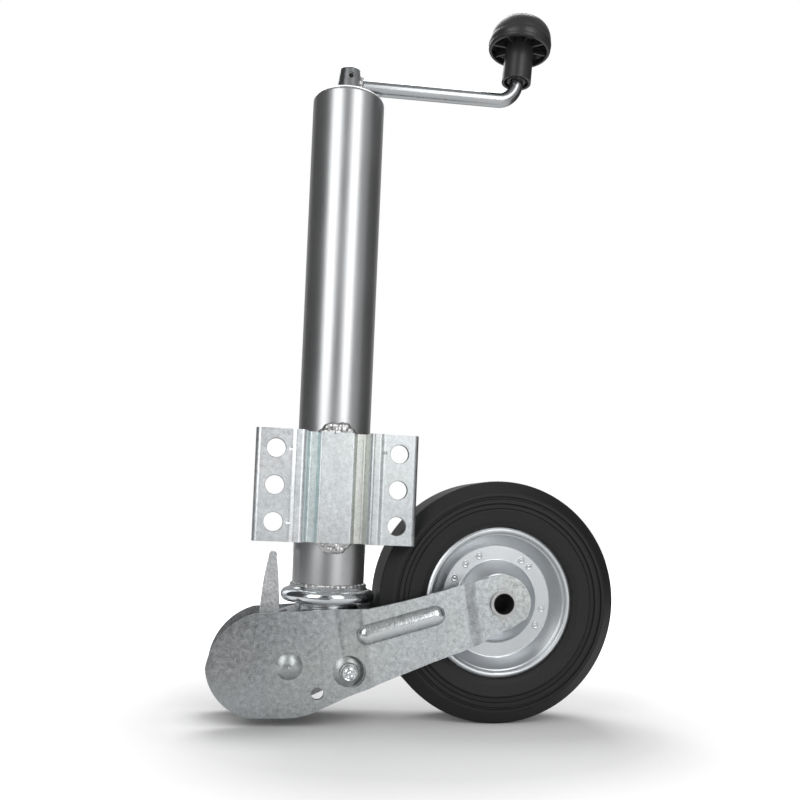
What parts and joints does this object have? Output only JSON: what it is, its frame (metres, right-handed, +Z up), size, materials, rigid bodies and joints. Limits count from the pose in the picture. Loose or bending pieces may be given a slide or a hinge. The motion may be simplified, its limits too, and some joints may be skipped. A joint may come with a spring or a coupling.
{
  "type": "jockey wheel",
  "caption": "Clamp-on trailer jockey wheel: crank-wound telescopic tube with a bolt-on bracket and a fork that folds its wheel up beside the tube.",
  "frame": {"origin": "middle of the bounding box at floor level", "axes": "+Z up along the tube, +X from the tube towards the wheel, -Y out of the bracket's bolting side"},
  "size_m": [0.3404, 0.0862, 0.6099],
  "materials": {
    "zinc_plate": "zinc-plated pressed sheet, fine spangled grain",
    "zinc_tube": "zinc-plated tube, satin with a faint lengthwise grain",
    "bright_zinc": "bright zinc plating",
    "cast_zinc": "zinc-plated casting, grainy",
    "weld_bead": "plated weld bead",
    "dark_steel": "oiled steel",
    "bush_plastic": "black nylon",
    "knob_plastic": "satin black moulded plastic",
    "tyre_rubber": "matte solid rubber"
  },
  "bodies": {
    "outer": {"outer_tube": "zinc_tube", "cam_ring": "bright_zinc", "ring_weld": "weld_bead", "guide_bush": "bush_plastic", "top_cap": "zinc_plate", "bearing_upper_race": "dark_steel", "bearing_balls": "dark_steel", "mount_bracket": "zinc_plate", "bracket_weld_upper": "weld_bead", "bracket_weld_lower": "weld_bead"},
    "crank": {"spindle": "dark_steel", "bearing_lower_race": "dark_steel", "crank_boss": "zinc_plate", "roll_pin": "dark_steel", "crank_arm": "zinc_plate", "crank_weld": "weld_bead"},
    "knob": {"knob_body": "knob_plastic", "knob_cap": "knob_plastic"},
    "inner": {"inner_tube": "zinc_tube", "spindle_nut": "zinc_plate", "swivel_stud": "zinc_plate", "swivel_washer_upper": "bright_zinc"},
    "head": {"head_block": "cast_zinc", "swivel_washer_lower": "bright_zinc", "lever_pin": "zinc_plate", "lever_spring": "dark_steel"},
    "lever": {"lock_lever": "cast_zinc"},
    "fork": {"cheek_near": "zinc_plate", "cheek_far": "zinc_plate", "pivot_rivet": "zinc_plate", "fork_bolt": "zinc_plate", "fork_spacer": "zinc_plate", "bolt_washer_near": "zinc_plate", "bolt_washer_far": "zinc_plate", "bolt_collar": "zinc_plate", "bolt_nut": "zinc_plate", "axle_tube": "zinc_plate", "axle_spacer_near": "zinc_plate", "axle_spacer_far": "zinc_plate"},
    "wheel": {"tyre": "tyre_rubber", "rim_near": "bright_zinc", "rim_far": "bright_zinc", "hub_tube": "zinc_plate", "hub_bush_near": "bush_plastic", "hub_bush_far": "bush_plastic"}
  },
  "joints": [
    {"name": "tube_extend", "type": "slide", "parent": "outer", "child": "inner", "axis": [0, 0, -1], "range_m": [0, 0.22]},
    {"name": "crank_turn", "type": "hinge", "parent": "outer", "child": "crank", "pos_m": [-0.07425, 0, 0.53], "axis": [0, 0, 1], "range_deg": [0, 15840]},
    {"name": "knob_spin", "type": "hinge", "parent": "crank", "child": "knob", "pos_m": [0.07175, 0, 0.541], "axis": [0.061, 0, 0.9981], "continuous": true},
    {"name": "head_swivel", "type": "hinge", "parent": "inner", "child": "head", "pos_m": [-0.07425, 0, 0.093], "axis": [0, 0, 1], "range_deg": [0, 180]},
    {"name": "lever_rock", "type": "hinge", "parent": "head", "child": "lever", "pos_m": [-0.12025, 0, 0.077], "axis": [0, 1, 0], "range_deg": [-12, 0]},
    {"name": "fork_fold", "type": "hinge", "parent": "head", "child": "fork", "pos_m": [-0.10525, 0, 0.048], "axis": [0, 1, 0], "range_deg": [0, 107.3]},
    {"name": "wheel_spin", "type": "hinge", "parent": "fork", "child": "wheel", "pos_m": [0.06825, 0, 0.102], "axis": [0, 1, 0], "continuous": true}
  ],
  "couplings": [
    {"joint": "crank_turn", "follows": "tube_extend", "rad_per_m": 1256.6},
    {"joint": "fork_fold", "follows": "tube_extend", "rad_per_m": 8.5124}
  ]
}
